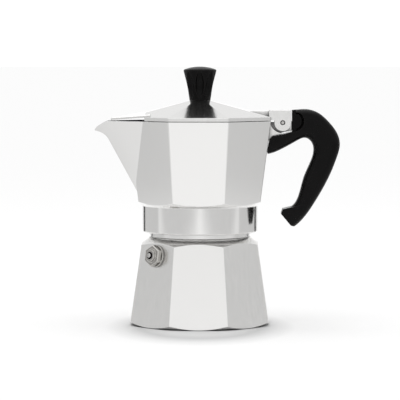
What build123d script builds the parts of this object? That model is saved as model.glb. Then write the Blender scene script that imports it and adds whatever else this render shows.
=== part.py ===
from build123d import *
import math
import os

# An octagonal stove-top moka pot, in millimetres, standing on z = 0 with its axis on Z.
# The spout points to -X, the handle to +X, and the safety valve sits on the facet between -X and -Y.

# Boiler: octagonal casting with a turned foot, a turned shoulder and a threaded neck
boiler_foot_flat = 43.2
boiler_taper = 8.08
octagon_edge_round = 0.9
boiler_wall = 3.2
boiler_floor = 4.0
boiler_cavity_top = 46.0
neck_visible_radius = 31.1
neck_core_radius = 31.9
neck_bore_radius = 28.5
neck_top = 65.0

# Screw thread that joins the boiler's neck to the collector's collar
thread_pitch = 3.0
ridge_start = 58.9
ridge_height = 5.1
ridge_root_width = 1.7
ridge_crest_width = 0.8
ridge_crest_radius = 33.5
groove_start = ridge_start - thread_pitch
groove_height = 10.5
groove_mouth_width = 2.1
groove_root_width = 1.4
groove_root_radius = 34.0
collar_bore_radius = 32.6

# Safety valve, measured outwards from the boiler's facet along the valve's own axis
valve_height = 44.3
valve_hole_radius = 4.9
valve_shank_radius = 4.85
valve_shank_length = 6.5
valve_bore_radius = 3.3
valve_seat_depth = 4.5
valve_guide_radius = 1.8
washer_radius = 6.8
washer_thickness = 1.4
hex_flat = 5.8
hex_top = 4.5
valve_nose_radius = 4.4
valve_nose_top = 5.1
valve_cap_radius = 3.9
valve_cap_top = 6.0
valve_cap_hole = 2.4
valve_pin_radius = 1.4
valve_pin_tip = 7.0
valve_flange_radius = 2.9
spring_radius = 2.6
spring_wire = 0.3
spring_turns = 5

# Funnel that holds the coffee, and its tube down to the water
flange_bottom = 65.15
flange_thickness = 1.0
flange_radius = 31.6
basket_radius = 27.8
basket_wall = 1.0
basket_bottom = 48.0
cone_bottom = 38.0
socket_bottom = 33.0
tube_radius = 4.0
tube_bore = 3.0
tube_bottom = 7.0
screen_thickness = 0.6

# Gasket and filter plate, held up inside the collar
gasket_bottom = 66.3
gasket_top = 69.55
gasket_outer = 32.3
gasket_inner = 26.0
filter_radius = 28.5
filter_bottom = 68.7
filter_thickness = 0.8

# Collector: round collar below an octagonal jug that widens upwards
collar_bottom = 57.8
collar_radius = 36.0
seat_height = 69.7
jug_base = 74.0
jug_base_flat = 37.38
jug_taper = 7.27
jug_rim = 127.2
jug_wall = 2.8
jug_floor = 79.0

# Spout: two flat sides that meet the jug's rim at its root and close in outwards and downwards.
# Its walls are measured across the pot, along Y; the keel and rim are side view outlines to the beak.
spout_root_x = -34.35
spout_root_half = 28.1
spout_narrowing = 0.8306
spout_lean = 0.2021
spout_inner_end = -34.0
spout_side_inset = 2.9
spout_lip_inset = 1.3
spout_keel_round = 0.7
spout_keel = [(-56.8, 115.7), (-59.0, 118.3), (-62.0, 119.9), (-65.8, 120.9)]
spout_rim = [(-65.8, 121.7), (-63.9, 123.9), (-61.0, 125.7), (-57.0, jug_rim)]

# Coffee column: tapered tube pressed into the jug's floor, with two outlets near its closed top
column_foot_radius = 9.0
column_foot_bottom = 74.6
column_flange_radius = 10.6
column_flange_top = 80.3
column_base_radius = 8.3
column_top_radius = 5.6
column_top = 113.0
column_bore = 3.6
column_bore_top = 109.0

# Hinge between the lid and the lug on the back of the collector
hinge_x = 51.6
hinge_z = 126.1
hinge_pin_radius = 1.15
pin_recess_depth = 0.9
hinge_web_half = 3.3
hinge_web_boss = 4.6
cradle_half = 8.2
tang_half = 2.4
tang_end = 70.0
ear_inner = 3.8
ear_outer = 8.2
ear_boss_radius = 5.2
ear_top = 133.8
ear_front = 43.0
ear_back = 56.9

# Lid: shallow eight-sided roof with a raised tongue above the spout
lid_bottom = 127.6
lid_band_top = 129.8
lid_flat = 43.9
lid_roof_top = 139.7
lid_roof_rise = 0.2642
lid_wall = 1.9
lid_bridge_half = 6.0
tongue_start = -33.5
tongue_wall = 1.1

# The tongue's folded section at three places: distance out, edge half width, edge bottom, ridge top
tongue_sections = ((-30.0, 30.3, 130.0, 133.5), (-48.6, 14.8, 128.4, 129.9), (-55.5, 4.0, 127.8, 128.7))

# Handle, screwed to the web behind the hinge
handle_edge_round = 5.0
handle_front = 57.4
handle_floor = 120.4
handle_screw_x = 65.5
handle_screw_radius = 1.45
ear_swing_radius = 9.75
ear_pocket_depth = 3.5

# Side view of the grip: its back from the top to the hook, and its inside from the hook to the front
handle_back = [
    (handle_front, 133.9),
    (64.6, 134.4),
    (69.1, 134.0),
    (74.1, 132.0),
    (80.3, 126.6),
    (85.3, 119.9),
    (87.2, 113.2),
    (85.3, 104.3),
    (81.9, 95.4),
    (76.9, 85.3),
    (71.3, 75.8),
    (66.8, 69.1),
    (60.7, 62.4),
]
handle_inside = [
    (56.3, 73.3),
    (59.0, 75.5),
    (61.5, 80.3),
    (64.8, 92.0),
    (69.1, 102.1),
    (70.8, 108.0),
    (69.6, 113.8),
    (65.9, 116.6),
    (60.0, 114.6),
    (51.8, 110.1),
    (42.3, 106.5),
]

# Knob on the lid
knob_bottom = 139.8
knob_top = 161.0
knob_foot_radius = 6.6
knob_head_radius = 10.3
knob_head_height = 158.6
knob_flutes = 8
flute_depth = 3.0
flute_foot = (7.3, 139.3)
flute_head = (11.3, 159.6)
knob_screw_radius = 1.95

os.makedirs("parts", exist_ok=True)


def octagon_outline(height, flat):
    """Round-cornered octagon whose flats face the X and Y axes."""
    with BuildSketch(Plane.XY.offset(height)) as outline:
        RegularPolygon(flat, 8, major_radius=False, rotation=22.5)
        fillet(outline.vertices(), octagon_edge_round)
    return outline.sketch


def octagon_block(bottom, bottom_flat, top, top_flat, mode=Mode.ADD):
    """Eight-sided tapered block between two heights."""
    loft([octagon_outline(bottom, bottom_flat), octagon_outline(top, top_flat)], ruled=True, mode=mode)


def boiler_flat(height):
    """Distance from the axis to the boiler's flats."""
    return boiler_foot_flat - height * math.tan(math.radians(boiler_taper))


def jug_flat(height):
    """Distance from the axis to the jug's flats."""
    return jug_base_flat + (height - jug_base) * math.tan(math.radians(jug_taper))


def turned(points, mode=Mode.ADD):
    """Closed outline of radius and height points, turned about the pot's axis."""
    with BuildSketch(Plane.XZ) as outline:
        with BuildLine():
            Polyline(*points, close=True)
        make_face()
    revolve(outline.sketch, axis=Axis.Z, mode=mode)


def helical_rib(start, height, inner_radius, outer_radius, inner_width, outer_width, mode):
    """Trapezoid swept along a right-hand helix about the pot's axis."""
    with BuildLine() as rib_path:
        Helix(thread_pitch, height, inner_radius, center=(0, 0, start))
    rib_line = rib_path.line
    depth = outer_radius - inner_radius
    with BuildSketch(Plane(origin=rib_line @ 0, x_dir=(1, 0, 0), z_dir=rib_line % 0)) as outline:
        with BuildLine():
            Polyline(
                (0, -inner_width / 2),
                (depth, -outer_width / 2),
                (depth, outer_width / 2),
                (0, inner_width / 2),
                close=True,
            )
        make_face()
    sweep(outline.sketch, path=rib_line, is_frenet=True, mode=mode)


def plate_holes(rings, spacing, radius, depth, plane):
    """Rings of small through holes round the centre of a thin disc."""
    with BuildSketch(plane) as pattern:
        Circle(radius)
        for ring in range(1, rings + 1):
            with PolarLocations(ring * spacing, 6 * ring):
                Circle(radius)
    extrude(pattern.sketch, amount=depth, both=True, mode=Mode.SUBTRACT)


# The valve's plane lies on the boiler's facet, with Z pointing straight out of the metal
valve_reach = boiler_flat(valve_height)
valve_plane = Plane(
    origin=(-valve_reach * math.sqrt(0.5), -valve_reach * math.sqrt(0.5), valve_height),
    x_dir=(math.sqrt(0.5), -math.sqrt(0.5), 0),
    z_dir=(
        -math.cos(math.radians(boiler_taper)) * math.sqrt(0.5),
        -math.cos(math.radians(boiler_taper)) * math.sqrt(0.5),
        math.sin(math.radians(boiler_taper)),
    ),
)


def valve_disc(bottom, top, radius, mode=Mode.ADD):
    """Round slice along the valve's axis."""
    with BuildSketch(valve_plane.offset(bottom)) as slice_outline:
        Circle(radius)
    extrude(slice_outline.sketch, amount=top - bottom, mode=mode)


def outer_face(piece):
    """The piece's face that lies furthest out along the valve's axis."""
    return piece.faces().sort_by(Axis(valve_plane.origin, valve_plane.z_dir))[-1]


# The boiler's octagon, cut to its turned foot and shoulder, then hollowed and threaded
with BuildPart() as boiler:
    octagon_block(0, boiler_foot_flat, 57.6, boiler_flat(57.6))
    shoulder = [(48, 45.5), (39.4, 50.2), (36.4, 51.8), (31.9, 54.9)]
    turned(
        [(0, 0), (42.4, 0), (43.2, 0.4), (46.9, 3.1), (48, 3.9)]
        + shoulder
        + [(neck_visible_radius, 55.2), (neck_visible_radius, 57.6), (0, 57.6)],
        mode=Mode.INTERSECT,
    )
    turned(
        [(0, 57.0), (neck_visible_radius, 57.0), (neck_visible_radius, 57.8), (neck_core_radius, 58.3)]
        + [(neck_core_radius, neck_top - 0.6), (neck_core_radius - 0.6, neck_top), (0, neck_top)]
    )
    octagon_block(
        boiler_floor,
        boiler_flat(boiler_floor) - boiler_wall,
        boiler_cavity_top,
        boiler_flat(boiler_cavity_top) - boiler_wall,
        mode=Mode.SUBTRACT,
    )
    turned(
        [(0, 45), (33.0, 45), (33.0, 46.0), (neck_bore_radius, 51.5)]
        + [(neck_bore_radius, neck_top), (0, neck_top)],
        mode=Mode.SUBTRACT,
    )
    helical_rib(
        ridge_start,
        ridge_height,
        neck_core_radius - 0.4,
        ridge_crest_radius,
        ridge_root_width,
        ridge_crest_width,
        Mode.ADD,
    )
    valve_disc(-9.0, 3.0, valve_hole_radius, mode=Mode.SUBTRACT)
boiler.part.label = "boiler"
export_step(boiler.part, "parts/boiler.step")

with BuildPart() as valve_washer:
    valve_disc(0.02, washer_thickness, washer_radius)
    valve_disc(0, washer_thickness, valve_hole_radius, mode=Mode.SUBTRACT)
    fillet(outer_face(valve_washer).outer_wire().edges(), 0.3)
valve_washer.part.label = "valve_washer"
export_step(valve_washer.part, "parts/valve_washer.step")

# Hexagonal body with a round step above it, bored from the outside down to the valve seat
with BuildPart() as valve_body:
    valve_disc(-valve_shank_length, washer_thickness + 0.05, valve_shank_radius)
    with BuildSketch(valve_plane.offset(washer_thickness + 0.02)):
        RegularPolygon(hex_flat, 6, major_radius=False, rotation=30)
    extrude(amount=hex_top - washer_thickness - 0.02)
    chamfer(outer_face(valve_body).edges(), 0.4)
    valve_disc(hex_top - 0.1, valve_nose_top, valve_nose_radius)
    fillet(outer_face(valve_body).edges(), 0.3)
    valve_disc(-valve_seat_depth, valve_nose_top + 1, valve_bore_radius, mode=Mode.SUBTRACT)
    valve_disc(-valve_shank_length - 1, 0, valve_guide_radius, mode=Mode.SUBTRACT)
valve_body.part.label = "valve_body"
export_step(valve_body.part, "parts/valve_body.step")

# Domed cap pressed into the body, which keeps the spring in
with BuildPart() as valve_cap:
    valve_disc(valve_nose_top + 0.02, valve_cap_top, valve_cap_radius)
    fillet(outer_face(valve_cap).edges(), 0.7)
    valve_disc(valve_nose_top - 0.8, valve_nose_top + 0.5, valve_bore_radius - 0.04)
    valve_disc(0, valve_cap_top + 1, valve_cap_hole, mode=Mode.SUBTRACT)
valve_cap.part.label = "valve_cap"
export_step(valve_cap.part, "parts/valve_cap.step")

# Pin with a sealing flange; its tip shows in the cap's hole
with BuildPart() as valve_pin:
    valve_disc(-valve_shank_length + 0.3, valve_pin_tip, valve_pin_radius)
    valve_disc(-valve_seat_depth + 0.55, -valve_seat_depth + 1.35, valve_flange_radius)
    fillet(outer_face(valve_pin).edges(), 0.5)
valve_pin.part.label = "valve_pin"
export_step(valve_pin.part, "parts/valve_pin.step")

# Soft ring that closes the seat below the pin's flange
with BuildPart() as valve_seal:
    valve_disc(-valve_seat_depth + 0.05, -valve_seat_depth + 0.5, valve_flange_radius)
    valve_disc(-valve_seat_depth, 0, valve_pin_radius + 0.05, mode=Mode.SUBTRACT)
valve_seal.part.label = "valve_seal"
export_step(valve_seal.part, "parts/valve_seal.step")

spring_bottom = -valve_seat_depth + 1.35 + 0.05 + spring_wire
spring_top = valve_nose_top - 0.8 - 0.05 - spring_wire
with BuildPart() as valve_spring:
    with BuildLine() as spring_path:
        Helix(
            (spring_top - spring_bottom) / spring_turns,
            spring_top - spring_bottom,
            spring_radius,
            center=(0, 0, spring_bottom),
        )
    spring_line = spring_path.line.moved(valve_plane.location)
    with BuildSketch(Plane(origin=spring_line @ 0, z_dir=spring_line % 0)):
        Circle(spring_wire)
    sweep(path=spring_line, is_frenet=True)
valve_spring.part.label = "valve_spring"
export_step(valve_spring.part, "parts/valve_spring.step")

# Coffee basket: rolled flange, straight wall, inner ledge for the screen, and a cone to the tube socket
flange_top = flange_bottom + flange_thickness
basket_inner = basket_radius - basket_wall
with BuildPart() as funnel_basket:
    turned(
        [(basket_inner, flange_top), (flange_radius, flange_top), (flange_radius, flange_bottom)]
        + [(basket_radius, flange_bottom), (basket_radius, basket_bottom)]
        + [(basket_radius - 2.0, basket_bottom - 1.8), (tube_radius + 1.1, cone_bottom)]
        + [(tube_radius + 1.1, socket_bottom), (tube_radius + 0.05, socket_bottom)]
        + [(tube_radius + 0.05, cone_bottom + 0.2), (basket_inner - 1.8, basket_bottom - 0.8)]
        + [(basket_inner - 1.8, basket_bottom + 0.2), (basket_inner, basket_bottom + 0.2)]
    )
funnel_basket.part.label = "funnel_basket"
export_step(funnel_basket.part, "parts/funnel_basket.step")

with BuildPart() as funnel_tube:
    turned(
        [(tube_bore, tube_bottom), (tube_radius, tube_bottom)]
        + [(tube_radius, cone_bottom), (tube_bore, cone_bottom)]
    )
funnel_tube.part.label = "funnel_tube"
export_step(funnel_tube.part, "parts/funnel_tube.step")

with BuildPart() as funnel_screen:
    with BuildSketch(Plane.XY.offset(basket_bottom + 0.25)):
        Circle(basket_inner - 0.1)
    extrude(amount=screen_thickness)
    plate_holes(6, 3.8, 0.8, 2, Plane.XY.offset(basket_bottom))
funnel_screen.part.label = "funnel_screen"
export_step(funnel_screen.part, "parts/funnel_screen.step")

# Sealing ring with a step in its inner top edge where the filter plate lies
with BuildPart() as gasket:
    turned(
        [(gasket_inner, gasket_bottom + 0.4), (gasket_inner + 0.4, gasket_bottom)]
        + [(gasket_outer - 0.4, gasket_bottom), (gasket_outer, gasket_bottom + 0.4)]
        + [(gasket_outer, gasket_top), (filter_radius + 0.1, gasket_top)]
        + [(filter_radius + 0.1, filter_bottom - 0.05), (gasket_inner, filter_bottom - 0.05)]
    )
gasket.part.label = "gasket"
export_step(gasket.part, "parts/gasket.step")

with BuildPart() as filter_plate:
    with BuildSketch(Plane.XY.offset(filter_bottom)):
        Circle(filter_radius)
    extrude(amount=filter_thickness)
    plate_holes(5, 4.4, 0.9, 2, Plane.XY.offset(filter_bottom))
filter_plate.part.label = "filter_plate"
export_step(filter_plate.part, "parts/filter_plate.step")


def spout_wedge(inset):
    """Cuts a solid to the space between the spout's two sides, each moved towards the middle by inset."""
    levels = (72.0, 140.0)
    outlines = []
    for level in levels:
        half = spout_root_half + spout_lean * (level - jug_rim) - inset
        with BuildSketch(Plane.XY.offset(level)) as outline:
            with BuildLine():
                Polyline(
                    (spout_root_x, half),
                    (spout_root_x - half / spout_narrowing, 0),
                    (spout_root_x, -half),
                    close=True,
                )
            make_face()
        outlines.append(outline.sketch)
    loft(outlines, ruled=True, mode=Mode.INTERSECT)


# The spout's outer shape: its side view, cut by the two sides, with a rounded keel
with BuildPart() as spout:
    with BuildSketch(Plane.XZ):
        with BuildLine():
            Polyline((spout_root_x, jug_rim), (spout_root_x, 76.2), spout_keel[0])
            Spline(*spout_keel, tangents=((-0.5, 0.87), (-0.95, 0.2)))
            Line(spout_keel[-1], spout_rim[0])
            Spline(*spout_rim, tangents=((0.5, 0.87), (1, 0)))
            Line(spout_rim[-1], (spout_root_x, jug_rim))
        make_face()
    extrude(amount=40, both=True)
    spout_wedge(0)
    keel_edges = spout.edges().filter_by(lambda edge: edge.length > 30 and edge.center().Z < 100)
    fillet(keel_edges.filter_by(lambda edge: edge.center().X < spout_root_x - 5), spout_keel_round)

# The channel through the spout: a deep one that opens into the jug, and a shallow one over the beak
with BuildPart() as spout_channel:
    with BuildSketch(Plane.XZ):
        with BuildLine():
            Polyline(
                (spout_inner_end, 132),
                (spout_inner_end, 82.0),
                (-56.5, 120.2),
                (-60.0, 122.4),
                (-60.0, 132),
                close=True,
            )
        make_face()
    extrude(amount=40, both=True)
    spout_wedge(spout_side_inset)
with BuildPart() as beak_channel:
    with BuildSketch(Plane.XZ):
        with BuildLine():
            Polyline((-52.0, 132), (-52.0, 119.5), (-57.5, 121.0), (-62.0, 121.9), (-67.0, 122.2))
            Polyline((-67.0, 122.2), (-67.0, 132), (-52.0, 132))
        make_face()
    extrude(amount=40, both=True)
    spout_wedge(spout_lip_inset)

with BuildPart() as collector:
    # jug, spout, and the turned underside of both
    octagon_block(jug_base, jug_base_flat, jug_rim, jug_flat(jug_rim))
    add(spout.part)
    turned(
        [(0, 72), (34, 72), (36, 74.2), (37.4, 75.5), (40.5, 77.1), (52, 83.1)]
        + [(70, 90), (70, 130), (0, 130)],
        mode=Mode.INTERSECT,
    )
    # collar
    turned([(0, collar_bottom), (35.3, collar_bottom), (36, 58.5), (collar_radius, 74.6), (0, 76)])
    # jug cavity and the channel through the spout
    octagon_block(
        jug_floor,
        jug_flat(jug_floor) - jug_wall,
        jug_rim + 1,
        jug_flat(jug_rim + 1) - jug_wall,
        mode=Mode.SUBTRACT,
    )
    add(spout_channel.part, mode=Mode.SUBTRACT)
    add(beak_channel.part, mode=Mode.SUBTRACT)
    # collar's bore, the seat for the gasket, and the shallow dome below the column
    turned(
        [(0, 57), (collar_bore_radius, 57), (collar_bore_radius, seat_height), (27.5, seat_height)]
        + [(26, 71.5), (column_foot_radius, 74.3), (column_foot_radius, jug_floor + 1), (0, jug_floor + 1)],
        mode=Mode.SUBTRACT,
    )
    # female thread, running out at the collar's mouth
    helical_rib(
        groove_start,
        groove_height,
        collar_bore_radius - 0.5,
        groove_root_radius,
        groove_mouth_width,
        groove_root_width,
        Mode.SUBTRACT,
    )
    # cradle below the lid's ears
    with BuildSketch(Plane.XZ):
        with BuildLine():
            ThreePointArc((43.7, jug_rim), (46.1, 121.7), (51.3, 119.6))
            Polyline((51.3, 119.6), (47.2, 118.7), (45.3, 118.1), (43.4, 115.6), (41.0, 113.0))
            Polyline((41.0, 113.0), (42.0, jug_rim), (43.7, jug_rim))
        make_face()
    extrude(amount=cradle_half, both=True)
    # web that carries the hinge pin
    with BuildSketch(Plane.XZ):
        with BuildLine():
            Polyline((42.0, 117.0), (45.3, 118.2), (52.8, 120.3), (57.1, 121.0), (57.1, 127.0))
            Polyline((57.1, 127.0), (55.5, 127.0), (50.0, 129.0), (47.0, 126.5))
            Polyline((47.0, 126.5), (42.5, 126.5), (42.0, 117.0))
        make_face()
        with Locations((hinge_x, hinge_z)):
            Circle(hinge_web_boss)
            Circle(hinge_pin_radius + 0.02, mode=Mode.SUBTRACT)
    extrude(amount=hinge_web_half, both=True)
    # tang that runs on from the web into the handle
    with BuildSketch(Plane.XZ):
        with Locations(((tang_end + 55) / 2, 124.0)):
            Rectangle(tang_end - 55, 6.0)
    extrude(amount=tang_half, both=True)
    with BuildSketch(Plane.XY.offset(120)):
        with Locations((handle_screw_x, 0)):
            Circle(handle_screw_radius + 0.02)
    extrude(amount=8, mode=Mode.SUBTRACT)
collector.part.label = "collector"
export_step(collector.part, "parts/collector.step")

with BuildPart() as coffee_column:
    turned(
        [(0, column_foot_bottom), (column_foot_radius - 0.03, column_foot_bottom)]
        + [(column_foot_radius - 0.03, jug_floor + 0.03), (column_flange_radius, jug_floor + 0.03)]
        + [(column_flange_radius, column_flange_top - 0.6), (column_base_radius + 0.6, column_flange_top)]
        + [(column_base_radius, column_flange_top + 0.8), (column_top_radius, column_top - 1.2)]
        + [(column_top_radius - 1.2, column_top), (0, column_top)]
    )
    turned(
        [(0, column_foot_bottom), (6.2, column_foot_bottom), (column_bore, 79.0)]
        + [(column_bore, column_bore_top - 1), (column_bore - 1.5, column_bore_top), (0, column_bore_top)],
        mode=Mode.SUBTRACT,
    )
    with BuildSketch(Plane.YZ):
        with Locations((0, 105)):
            RectangleRounded(4.4, 6, 1.5)
    extrude(amount=12, both=True, mode=Mode.SUBTRACT)
coffee_column.part.label = "coffee_column"
export_step(coffee_column.part, "parts/coffee_column.step")

# Handle: one curved grip with a slot for the tang and scooped pockets where the lid's ears swing
with BuildPart() as handle:
    with BuildSketch(Plane.XZ):
        with BuildLine():
            Spline(*handle_back)
            Polyline((60.7, 62.4), (58.8, 61.3), (56.8, 61.9), (50.6, 69.3), (51.6, 72.2), (56.3, 73.3))
            Spline(*handle_inside)
            Polyline((42.3, 106.5), (41.9, 107.6), (43.2, 115.1), (45.1, 117.7), (52.8, 119.2))
            Polyline((52.8, 119.2), (handle_front, handle_floor), (handle_front, 133.9))
        make_face()
    extrude(amount=10.5, both=True)
    with BuildSketch(Plane.YZ):
        with BuildLine():
            Polyline((-9.8, 135), (9.8, 135), (7.0, 60), (-7.0, 60), close=True)
        make_face()
    extrude(amount=100, mode=Mode.INTERSECT)
    fillet(handle.edges().filter_by(lambda edge: edge.length > 50), handle_edge_round)
    for side in (-1, 1):
        # straight pocket for the ears' swing, open to the front and the top
        with BuildSketch(Plane.XZ.offset(side * ear_pocket_depth)):
            with Locations((hinge_x, hinge_z)):
                Circle(ear_swing_radius)
            with Locations((hinge_x, hinge_z + 5)):
                Rectangle(2 * (ear_top - hinge_z + 0.4), 10)
            with Locations((hinge_x, handle_floor - 10)):
                Rectangle(40, 20, mode=Mode.SUBTRACT)
        extrude(amount=side * 9, mode=Mode.SUBTRACT)
        # scoop behind it, wider towards the outside
        with BuildSketch(Plane.XZ.offset(side * ear_pocket_depth)):
            with BuildLine():
                Polyline((55.0, 131.3), (61.2, 131.3))
                ThreePointArc((61.2, 131.3), (63.4, 126.8), (59.2, 122.2))
                Polyline((59.2, 122.2), (55.0, 121.6), (55.0, 131.3))
            make_face()
        extrude(amount=side * 9, taper=-14, mode=Mode.SUBTRACT)
    # slot for the tang
    with BuildSketch(Plane.XZ):
        with Locations(((tang_end + 50) / 2, 124.0)):
            Rectangle(tang_end + 0.3 - 50, 6.1)
    extrude(amount=tang_half + 0.05, both=True, mode=Mode.SUBTRACT)
    # countersunk screw hole from the top
    with BuildSketch(Plane.XY.offset(120)):
        with Locations((handle_screw_x, 0)):
            Circle(handle_screw_radius + 0.1)
    extrude(amount=12, mode=Mode.SUBTRACT)
    with BuildSketch(Plane.XY.offset(131.0)):
        with Locations((handle_screw_x, 0)):
            Circle(3.2)
    extrude(amount=8, mode=Mode.SUBTRACT)
handle.part.label = "handle"
export_step(handle.part, "parts/handle.step")

with BuildPart() as handle_screw:
    with BuildSketch(Plane.XY.offset(121.3)):
        with Locations((handle_screw_x, 0)):
            Circle(handle_screw_radius)
    extrude(amount=10)
    with BuildSketch(Plane.XY.offset(131.05)):
        with Locations((handle_screw_x, 0)):
            Circle(3.0)
    extrude(amount=2.0)
    fillet(handle_screw.edges().group_by(Axis.Z)[-1], 0.6)
    with BuildSketch(Plane.XY.offset(133.05)):
        with Locations((handle_screw_x, 0)):
            Rectangle(4.2, 0.8)
            Rectangle(0.8, 4.2)
    extrude(amount=-1.2, mode=Mode.SUBTRACT)
handle_screw.part.label = "handle_screw"
export_step(handle_screw.part, "parts/handle_screw.step")

with BuildPart() as hinge_pin:
    with BuildSketch(Plane.XZ):
        with Locations((hinge_x, hinge_z)):
            Circle(hinge_pin_radius)
    extrude(amount=ear_outer, both=True)
    chamfer(hinge_pin.edges(), 0.3)
hinge_pin.part.label = "hinge_pin"
export_step(hinge_pin.part, "parts/hinge_pin.step")


def folded_section(x, half_width, edge_bottom, ridge_top):
    """Section across the tongue: a thin sheet folded along its middle."""
    with BuildSketch(Plane.YZ.offset(x)) as outline:
        with BuildLine():
            Polyline(
                (-half_width, edge_bottom),
                (0, ridge_top - tongue_wall),
                (half_width, edge_bottom),
                (half_width, edge_bottom + tongue_wall),
                (0, ridge_top),
                (-half_width, edge_bottom + tongue_wall),
                close=True,
            )
        make_face()
    return outline.sketch


def roof_flat(height):
    """Distance from the axis to the roof's eight planes at a height above the lid's band."""
    return lid_flat - (height - lid_band_top) / lid_roof_rise


# Lid: shallow eight-sided roof with a raised tongue above the spout and two ears at the back
with BuildPart() as lid:
    octagon_block(lid_bottom, lid_flat, lid_band_top, lid_flat)
    octagon_block(lid_band_top, lid_flat, lid_roof_top, roof_flat(lid_roof_top))
    # bridge to the hinge ears
    with BuildSketch(Plane.XZ):
        with BuildLine():
            Polyline((29.5, 133.0), (31.0, 133.2), (44.5, 133.4), (44.5, lid_bottom), (42.0, lid_bottom))
            Polyline((42.0, lid_bottom), (42.0, 129.4), (29.5, 133.0))
        make_face()
    extrude(amount=lid_bridge_half, both=True)
    # hollow underside
    inner_flat = lid_flat - lid_wall
    hollow_top = lid_roof_top - 2.0
    octagon_block(lid_bottom, inner_flat, lid_bottom + 1.6, inner_flat, mode=Mode.SUBTRACT)
    octagon_block(
        lid_bottom + 1.6,
        inner_flat,
        hollow_top,
        inner_flat - (hollow_top - lid_bottom - 1.6) / lid_roof_rise,
        mode=Mode.SUBTRACT,
    )
    # the roof ends at the spout's root, where the tongue goes on
    with BuildSketch(Plane.XZ):
        with Locations((tongue_start - 10, 130)):
            Rectangle(20, 10)
    extrude(amount=40, both=True, mode=Mode.SUBTRACT)
    loft([folded_section(*section) for section in tongue_sections], ruled=True)
    # hinge ears
    with BuildSketch(Plane.XZ):
        with BuildLine():
            Polyline((ear_front, ear_top), (ear_back, ear_top), (ear_back, hinge_z))
            Polyline((ear_back, hinge_z), (hinge_x, hinge_z - 1), (47.5, lid_bottom))
            Polyline((47.5, lid_bottom), (ear_front, lid_bottom), (ear_front, ear_top))
        make_face()
        with Locations((hinge_x, hinge_z)):
            Circle(ear_boss_radius)
    extrude(amount=ear_outer, both=True)
    with BuildSketch(Plane.XZ):
        with Locations((51.0, 126.0)):
            Rectangle(14.0, 20)
        with Locations((46.0, 134.9)):
            Rectangle(9.0, 10.0)
    extrude(amount=ear_inner, both=True, mode=Mode.SUBTRACT)
    with BuildSketch(Plane.XZ):
        with Locations((hinge_x, hinge_z)):
            Circle(hinge_pin_radius + 0.07)
    extrude(amount=12, both=True, mode=Mode.SUBTRACT)
    # shallow recesses round the pin's ends
    for side in (-1, 1):
        with BuildSketch(Plane.XZ.offset(side * (ear_outer - pin_recess_depth))):
            with Locations((hinge_x, hinge_z)):
                Circle(hinge_pin_radius + 0.4)
        extrude(amount=side * 2, mode=Mode.SUBTRACT)
    # hole for the knob's screw
    with BuildSketch(Plane.XY.offset(130)):
        Circle(knob_screw_radius + 0.2)
    extrude(amount=12, mode=Mode.SUBTRACT)
lid.part.label = "lid"
export_step(lid.part, "parts/lid.step")

# Cutter for one of the knob's flutes: a long lens turned about a line just outside the knob's side
with BuildPart() as flute_cutter:
    with BuildSketch(Plane.XZ):
        with BuildLine():
            Line(flute_foot, flute_head)
            SagittaArc(flute_head, flute_foot, -flute_depth)
        make_face()
    flute_way = Vector(flute_head[0] - flute_foot[0], 0, flute_head[1] - flute_foot[1])
    revolve(axis=Axis((flute_foot[0], 0, flute_foot[1]), flute_way))

# Fluted knob that widens upwards to a low dome
with BuildPart() as knob:
    with BuildSketch(Plane.XZ):
        with BuildLine():
            Polyline(
                (0, knob_top),
                (0, knob_bottom),
                (knob_foot_radius, knob_bottom),
                (knob_foot_radius, knob_bottom + 0.8),
                (knob_head_radius, knob_head_height),
                (knob_head_radius - 0.5, knob_head_height + 0.6),
            )
            TangentArc((0, knob_top), (knob_head_radius - 0.5, knob_head_height + 0.6), tangent=(1, 0))
        make_face()
    revolve(axis=Axis.Z)
    for step in range(knob_flutes):
        add(flute_cutter.part.rotate(Axis.Z, 360 * step / knob_flutes), mode=Mode.SUBTRACT)
    with BuildSketch(Plane.XY.offset(knob_bottom)):
        Circle(3.5)
    extrude(amount=12.5, mode=Mode.SUBTRACT)
knob.part.label = "knob"
export_step(knob.part, "parts/knob.step")

with BuildPart() as knob_insert:
    with BuildSketch(Plane.XY.offset(knob_bottom + 0.3)):
        Circle(3.45)
        Circle(2.0, mode=Mode.SUBTRACT)
    extrude(amount=11.5)
    with BuildSketch(Plane.XY.offset(knob_bottom + 5)):
        Circle(4)
        Circle(3.0, mode=Mode.SUBTRACT)
    extrude(amount=1.2, mode=Mode.SUBTRACT)
knob_insert.part.label = "knob_insert"
export_step(knob_insert.part, "parts/knob_insert.step")

with BuildPart() as knob_washer:
    with BuildSketch(Plane.XY.offset(lid_roof_top - 2.0 - 0.55)):
        Circle(4.6)
        Circle(2.1, mode=Mode.SUBTRACT)
    extrude(amount=0.5)
knob_washer.part.label = "knob_washer"
export_step(knob_washer.part, "parts/knob_washer.step")

with BuildPart() as knob_screw:
    with BuildSketch(Plane.XY.offset(lid_roof_top - 2.6 - 2.2)):
        Circle(3.8)
    extrude(amount=2.2)
    fillet(knob_screw.edges().group_by(Axis.Z)[0], 0.8)
    with BuildSketch(Plane.XY.offset(lid_roof_top - 2.6 - 2.2)):
        Rectangle(5.0, 0.9)
        Rectangle(0.9, 5.0)
    extrude(amount=1.3, mode=Mode.SUBTRACT)
    with BuildSketch(Plane.XY.offset(lid_roof_top - 2.7)):
        Circle(knob_screw_radius)
    extrude(amount=13.5)
knob_screw.part.label = "knob_screw"
export_step(knob_screw.part, "parts/knob_screw.step")
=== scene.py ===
import math

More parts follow.
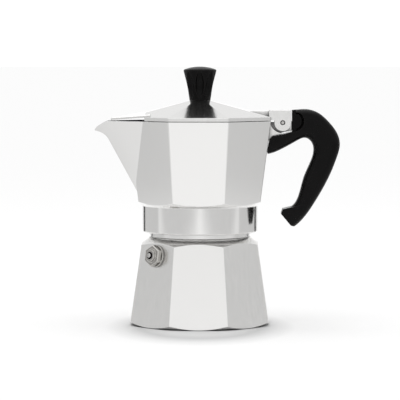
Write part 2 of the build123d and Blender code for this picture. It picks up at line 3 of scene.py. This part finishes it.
import bpy
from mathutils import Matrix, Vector

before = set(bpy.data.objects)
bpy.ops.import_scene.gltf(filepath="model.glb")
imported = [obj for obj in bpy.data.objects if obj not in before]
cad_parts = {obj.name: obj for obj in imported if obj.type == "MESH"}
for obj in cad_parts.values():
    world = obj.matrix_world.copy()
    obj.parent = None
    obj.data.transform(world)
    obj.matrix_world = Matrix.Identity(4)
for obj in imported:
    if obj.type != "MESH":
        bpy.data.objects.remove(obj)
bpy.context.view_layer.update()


# ---------------------------------------------------------------- materials

# how far the shading rounds the edges, and how far from an edge the rubbed tone reaches, in metres
metal_bevel = 0.0004
metal_edge = 0.0006
plastic_bevel = 0.0005
plastic_edge = 0.0009
grain_depth = 0.00004
# near-black colour of the painted shade, with some grime, deep in gaps and recesses
shade_and_grime_tone = (0.06, 0.06, 0.06)

def new_material(name):
    """New material, its node tree, and the Principled shader in it."""
    material = bpy.data.materials.new(name)
    material.use_nodes = True
    tree = material.node_tree
    return material, tree, tree.nodes["Principled BSDF"]


def add(tree, kind):
    return tree.nodes.new(kind)


def link(tree, source, target):
    tree.links.new(source, target)


def feed(tree, value, target):
    """Gives an input a value: a link from a socket, or a constant."""
    if isinstance(value, bpy.types.NodeSocket):
        link(tree, value, target)
    else:
        target.default_value = value


def calculate(tree, operation, *values):
    """Result of a math node whose inputs are sockets or numbers."""
    node = add(tree, "ShaderNodeMath")
    node.operation = operation
    for index, value in enumerate(values):
        feed(tree, value, node.inputs[index])
    return node.outputs["Value"]


def grey(tone):
    return (tone, tone, tone, 1)


def ramp(tree, source, stops):
    """Grey ramp over source; each stop is a position and a tone."""
    node = add(tree, "ShaderNodeValToRGB")
    elements = node.color_ramp.elements
    while len(elements) < len(stops):
        elements.new(0.5)
    for element, (position, tone) in zip(elements, stops):
        element.position = position
        element.color = grey(tone)
    link(tree, source, node.inputs["Fac"])
    return node.outputs["Color"]


def stretched(tree, scale):
    """Object coordinates in metres, scaled on each axis."""
    place = add(tree, "ShaderNodeTexCoord")
    mapping = add(tree, "ShaderNodeMapping")
    mapping.inputs["Scale"].default_value = scale
    link(tree, place.outputs["Object"], mapping.inputs["Vector"])
    return mapping.outputs["Vector"]


def noise(tree, scale, detail, roughness, vector=(1, 1, 1)):
    """Noise in the object's own coordinates, stretched where an axis of vector is small."""
    node = add(tree, "ShaderNodeTexNoise")
    node.inputs["Scale"].default_value = scale
    node.inputs["Detail"].default_value = detail
    node.inputs["Roughness"].default_value = roughness
    link(tree, stretched(tree, vector), node.inputs["Vector"])
    return node.outputs["Fac"]


def mixed(tree, amount, low, high, blend="MIX"):
    """Colour mix; amount is a socket or a number, and low and high are sockets or colours."""
    node = add(tree, "ShaderNodeMix")
    node.data_type = "RGBA"
    node.blend_type = blend
    feed(tree, amount, node.inputs[0])
    for index, value in ((6, low), (7, high)):
        feed(tree, value if isinstance(value, bpy.types.NodeSocket) else (*value, 1), node.inputs[index])
    return node.outputs[2]


def darker(tone, share):
    return tuple(channel * (1 - share) for channel in tone)


def rounded_normal(tree, radius):
    """Normal as if each sharp edge were rounded to this radius."""
    node = add(tree, "ShaderNodeBevel")
    node.samples = 4
    node.inputs["Radius"].default_value = radius
    return node.outputs["Normal"]


def edge_mask(tree, radius):
    """About 1 on a sharp edge and 0 on a flat, from the angle between the rounded and the true normal."""
    true = add(tree, "ShaderNodeNewGeometry")
    dot = add(tree, "ShaderNodeVectorMath")
    dot.operation = "DOT_PRODUCT"
    link(tree, rounded_normal(tree, radius), dot.inputs[0])
    link(tree, true.outputs["Normal"], dot.inputs[1])
    return ramp(tree, dot.outputs["Value"], [(0.86, 1.0), (0.995, 0.0)])


def painted_recess_shade_mask(tree, distance):
    """About 1 deep in gaps and recesses and 0 on open faces, where shade is painted in."""
    cavity = add(tree, "ShaderNodeAmbientOcclusion")
    cavity.samples = 8
    cavity.inputs["Distance"].default_value = distance
    return ramp(tree, cavity.outputs["AO"], [(0.3, 1.0), (0.72, 0.0)])


def finish_surface(tree, shader, colour, rough, height, strength, distance, bevel=0.0):
    """Joins colour, roughness and a fine bump to the shader, with its edges rounded in the shading."""
    link(tree, colour, shader.inputs["Base Color"])
    link(tree, rough, shader.inputs["Roughness"])
    bump = add(tree, "ShaderNodeBump")
    bump.inputs["Strength"].default_value = strength
    bump.inputs["Distance"].default_value = distance
    link(tree, height, bump.inputs["Height"])
    if bevel:
        link(tree, rounded_normal(tree, bevel), bump.inputs["Normal"])
    link(tree, bump.outputs["Normal"], shader.inputs["Normal"])


def metal(name, tone, worn, rough, grain, grain_scale, cloud=0.02, bump=0.08, recess_shade_reach=0.004):
    """Metal with cloudy tone, fine directional grain, brighter worn edges, and painted shade darkening its
    recesses with some grime.
    """
    material, tree, shader = new_material(name)
    shader.inputs["Metallic"].default_value = 1.0
    clouds = noise(tree, 38, 4, 0.55)
    fine = noise(tree, grain_scale, 5, 0.7, grain)
    base = mixed(tree, ramp(tree, clouds, [(0.3, 0.0), (0.7, 1.0)]), darker(tone, cloud), tone)
    streaks = mixed(tree, ramp(tree, fine, [(0.35, 0.0), (0.65, 1.0)]), darker(tone, cloud), base)
    rubbed = mixed(tree, edge_mask(tree, metal_edge), streaks, worn)
    # painted shade: gaps and recesses darkened towards near black
    colour = mixed(tree, painted_recess_shade_mask(tree, recess_shade_reach), rubbed, shade_and_grime_tone)
    roughness = ramp(tree, fine, [(0.3, rough * 0.85), (0.7, rough * 1.2)])
    finish_surface(tree, shader, colour, roughness, fine, bump, grain_depth, metal_bevel)
    return material


def plastic(name, tone, worn, rough):
    """Moulded black plastic: faint mottling, fine grain and edges rubbed slightly paler."""
    material, tree, shader = new_material(name)
    shader.inputs["IOR"].default_value = 1.5
    shader.inputs["Specular IOR Level"].default_value = 0.1
    mottle = noise(tree, 160, 5, 0.6)
    grain = noise(tree, 2600, 3, 0.6)
    base = mixed(tree, ramp(tree, mottle, [(0.35, 0.0), (0.7, 1.0)]), tone, darker(tone, -0.35))
    colour = mixed(tree, edge_mask(tree, plastic_edge), base, worn)
    roughness = ramp(tree, mottle, [(0.3, rough * 0.9), (0.75, rough * 1.15)])
    finish_surface(tree, shader, colour, roughness, grain, 0.12, 0.00005, plastic_bevel)
    return material


def rubber(name, tone, dust):
    """Matt rubber with dusty mottling."""
    material, tree, shader = new_material(name)
    shader.inputs["Specular IOR Level"].default_value = 0.3
    mottle = noise(tree, 220, 6, 0.65)
    colour = mixed(tree, ramp(tree, mottle, [(0.35, 0.0), (0.7, 1.0)]), tone, dust)
    roughness = ramp(tree, mottle, [(0.3, 0.6), (0.75, 0.8)])
    finish_surface(tree, shader, colour, roughness, mottle, 0.2, 0.0001)
    return material


cast_grain = (1, 1, 0.12)
satin_casting = metal(
    "satin_casting", (0.8, 0.795, 0.785), (0.86, 0.86, 0.85), 0.22, cast_grain, 700, bump=0.02, recess_shade_reach=0.0015
)
polished_casting = metal(
    "polished_casting", (0.85, 0.845, 0.835), (0.92, 0.92, 0.91), 0.13, cast_grain, 700
)
lid_casting = metal("lid_casting", (0.84, 0.835, 0.825), (0.9, 0.9, 0.89), 0.16, (1, 1, 0.3), 700)
turned_sheet = metal("turned_sheet", (0.82, 0.82, 0.81), (0.92, 0.92, 0.91), 0.3, (0.1, 0.1, 1), 1500)
nickel = metal(
    "nickel", (0.42, 0.41, 0.39), (0.75, 0.73, 0.7), 0.12, (0.4, 0.4, 1), 1200,
    cloud=0.06, bump=0.03, recess_shade_reach=0.003,
)
drawn_steel = metal(
    "drawn_steel", (0.55, 0.54, 0.53), (0.72, 0.71, 0.7), 0.24, (1, 0.1, 1), 1500, cloud=0.06
)
turned_brass = metal(
    "turned_brass", (0.72, 0.55, 0.27), (0.85, 0.7, 0.42), 0.28, (0.2, 0.2, 1), 1500, cloud=0.06
)
black_plastic = plastic("black_plastic", (0.0022, 0.002, 0.002), (0.012, 0.011, 0.011), 0.26)
white_rubber = rubber("white_rubber", (0.7, 0.68, 0.62), (0.78, 0.77, 0.72))

finishes = {
    "boiler": satin_casting,
    "collector": polished_casting,
    "coffee_column": polished_casting,
    "lid": lid_casting,
    "funnel_basket": turned_sheet,
    "funnel_tube": turned_sheet,
    "funnel_screen": turned_sheet,
    "filter_plate": turned_sheet,
    "handle": black_plastic,
    "knob": black_plastic,
    "valve_washer": nickel,
    "valve_body": nickel,
    "valve_cap": nickel,
    "valve_pin": drawn_steel,
    "valve_spring": drawn_steel,
    "handle_screw": drawn_steel,
    "hinge_pin": drawn_steel,
    "knob_screw": drawn_steel,
    "knob_washer": drawn_steel,
    "knob_insert": turned_brass,
    "valve_seal": white_rubber,
    "gasket": white_rubber,
}
for node_name, material in finishes.items():
    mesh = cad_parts[node_name].data
    mesh.materials.clear()
    mesh.materials.append(material)


# ---------------------------------------------------------------- studio

def floor_material():
    """Pale matt floor: white around the pot with painted shade greying it further out, a painted band of
    light across the front, and a painted soft shade at the foot.
    """
    material, tree, shader = new_material("studio_floor")
    place = add(tree, "ShaderNodeTexCoord").outputs["Object"]
    split = add(tree, "ShaderNodeSeparateXYZ")
    link(tree, place, split.inputs["Vector"])
    across, back = split.outputs["X"], split.outputs["Y"]
    # metres to the side, less a tenth of the distance back
    aside = calculate(tree, "MULTIPLY_ADD", back, -0.1, calculate(tree, "ABSOLUTE", across))
    # painted shade: the floor greys further out to the side
    tone = ramp(tree, aside, [(0.13, 0.98), (0.24, 0.82), (0.42, 0.62)])
    # a painted band of light on the floor across the front of the pot, which starts a little further back on
    # the left
    forward = calculate(tree, "MULTIPLY_ADD", across, -0.06, calculate(tree, "MULTIPLY", back, -1.0))
    painted_light_band = ramp(tree, forward, [(0.035, 0.0), (0.075, 1.0), (0.2, 1.0), (0.3, 0.0)])
    painted_light_tone = ramp(tree, aside, [(0.2, 0.98), (0.4, 0.84)])
    floor_with_painted_light = mixed(tree, painted_light_band, tone, painted_light_tone)
    # an oval of soft shade under and in front of the foot
    oval = add(tree, "ShaderNodeMapping")
    oval.inputs["Location"].default_value = (0, 0.15, 0)
    oval.inputs["Scale"].default_value = (12.8, 7.8, 0)
    link(tree, place, oval.inputs["Vector"])
    reach = add(tree, "ShaderNodeVectorMath")
    reach.operation = "LENGTH"
    link(tree, oval.outputs["Vector"], reach.inputs[0])
    shade = ramp(tree, reach.outputs["Value"], [(0.36, 0.76), (0.47, 0.66), (0.62, 0.88), (0.76, 1.0)])
    link(tree, mixed(tree, 1.0, floor_with_painted_light, shade, "MULTIPLY"), shader.inputs["Base Color"])
    shader.inputs["Roughness"].default_value = 1.0
    shader.inputs["Specular IOR Level"].default_value = 0.0
    return material


def flat_mesh(name, corners):
    """One flat face as an object of its own."""
    mesh = bpy.data.meshes.new(name)
    mesh.from_pydata(corners, [], [tuple(range(len(corners)))])
    thing = bpy.data.objects.new(name, mesh)
    bpy.context.scene.collection.objects.link(thing)
    return thing


# the camera looks from a little to the right of the front facet
view_turn = math.radians(1.3)

floor = flat_mesh("floor", [(-30, -30, 0), (30, -30, 0), (30, 60, 0), (-30, 60, 0)])
floor.data.materials.append(floor_material())
floor.rotation_euler = (0, 0, view_turn)

# light from all round: tones by the angle from the front, a steady grey higher up, and pale overhead
world = bpy.data.worlds.new("studio")
bpy.context.scene.world = world
world.use_nodes = True
sky = world.node_tree
sky.nodes.clear()
parts = add(sky, "ShaderNodeSeparateXYZ")
link(sky, add(sky, "ShaderNodeTexCoord").outputs["Generated"], parts.inputs["Vector"])
toward = calculate(sky, "MULTIPLY", parts.outputs["Y"], -1.0)
angle = calculate(sky, "ABSOLUTE", calculate(sky, "ARCTAN2", parts.outputs["X"], toward))
around = ramp(sky, calculate(sky, "DIVIDE", angle, math.pi), [
    (0.0, 0.84), (0.37, 0.84), (0.445, 0.64), (0.475, 0.47), (0.56, 0.47), (0.64, 0.8), (0.79, 0.85),
    (0.81, 0.02), (0.87, 0.02), (0.89, 1.0), (1.0, 1.0),
])
raised = ramp(sky, parts.outputs["Z"], [(0.12, 0.0), (0.3, 1.0)])
overhead = ramp(sky, parts.outputs["Z"], [(0.75, 0.0), (0.95, 1.0)])
walls = mixed(sky, raised, around, (0.66, 0.66, 0.66))
dome = mixed(sky, overhead, walls, (0.9, 0.9, 0.9))
background = add(sky, "ShaderNodeBackground")
background.inputs["Strength"].default_value = 1.36
link(sky, dome, background.inputs["Color"])
output = add(sky, "ShaderNodeOutputWorld")
link(sky, background.outputs["Background"], output.inputs["Surface"])


def soft_box(name, place, aim, side, power):
    """Square area light that points at a place."""
    light = bpy.data.lights.new(name, "AREA")
    light.shape = "SQUARE"
    light.size, light.energy = side, power
    lamp = bpy.data.objects.new(name, light)
    bpy.context.scene.collection.objects.link(lamp)
    lamp.location = place
    lamp.rotation_mode = "QUATERNION"
    lamp.rotation_quaternion = (Vector(aim) - Vector(place)).to_track_quat("-Z", "Y")


# narrow dark cards behind the pot, seen only in reflections at the edges of the round collar
card_distance = 0.5
card_height = Vector((0, 0, 0.3))
card_angles = (math.radians(138.5), math.radians(148.5))
card_material, _, card_shader = new_material("card_black")
card_shader.inputs["Base Color"].default_value = grey(0.01)
card_shader.inputs["Roughness"].default_value = 1.0
for name, side in (("card_left", -1), ("card_right", 1)):
    near, far = (Vector((side * math.sin(turn), -math.cos(turn), 0)) * card_distance for turn in card_angles)
    card = flat_mesh(name, [near, far, far + card_height, near + card_height])
    card.data.materials.append(card_material)
    card.visible_camera = False
    card.visible_diffuse = False
    card.visible_shadow = False

soft_box("top_light", (0.0, 0.1, 1.1), (0, 0, 0), 0.9, 1.2)

view_distance = 1.443
view_height = 0.165
view_drop = math.radians(3.47)
camera_data = bpy.data.cameras.new("camera")
camera_data.lens = 207.8
camera_data.sensor_width = 36.0
camera_data.clip_start = 0.05
camera_data.clip_end = 200.0
camera = bpy.data.objects.new("camera", camera_data)
bpy.context.scene.collection.objects.link(camera)
camera.location = (
    view_distance * math.sin(view_turn),
    -view_distance * math.cos(view_turn),
    view_height,
)
camera.rotation_euler = (math.radians(90) - view_drop, 0, view_turn)
bpy.context.scene.camera = camera
bpy.context.scene.view_settings.view_transform = "Standard"

bpy.context.view_layer.update()
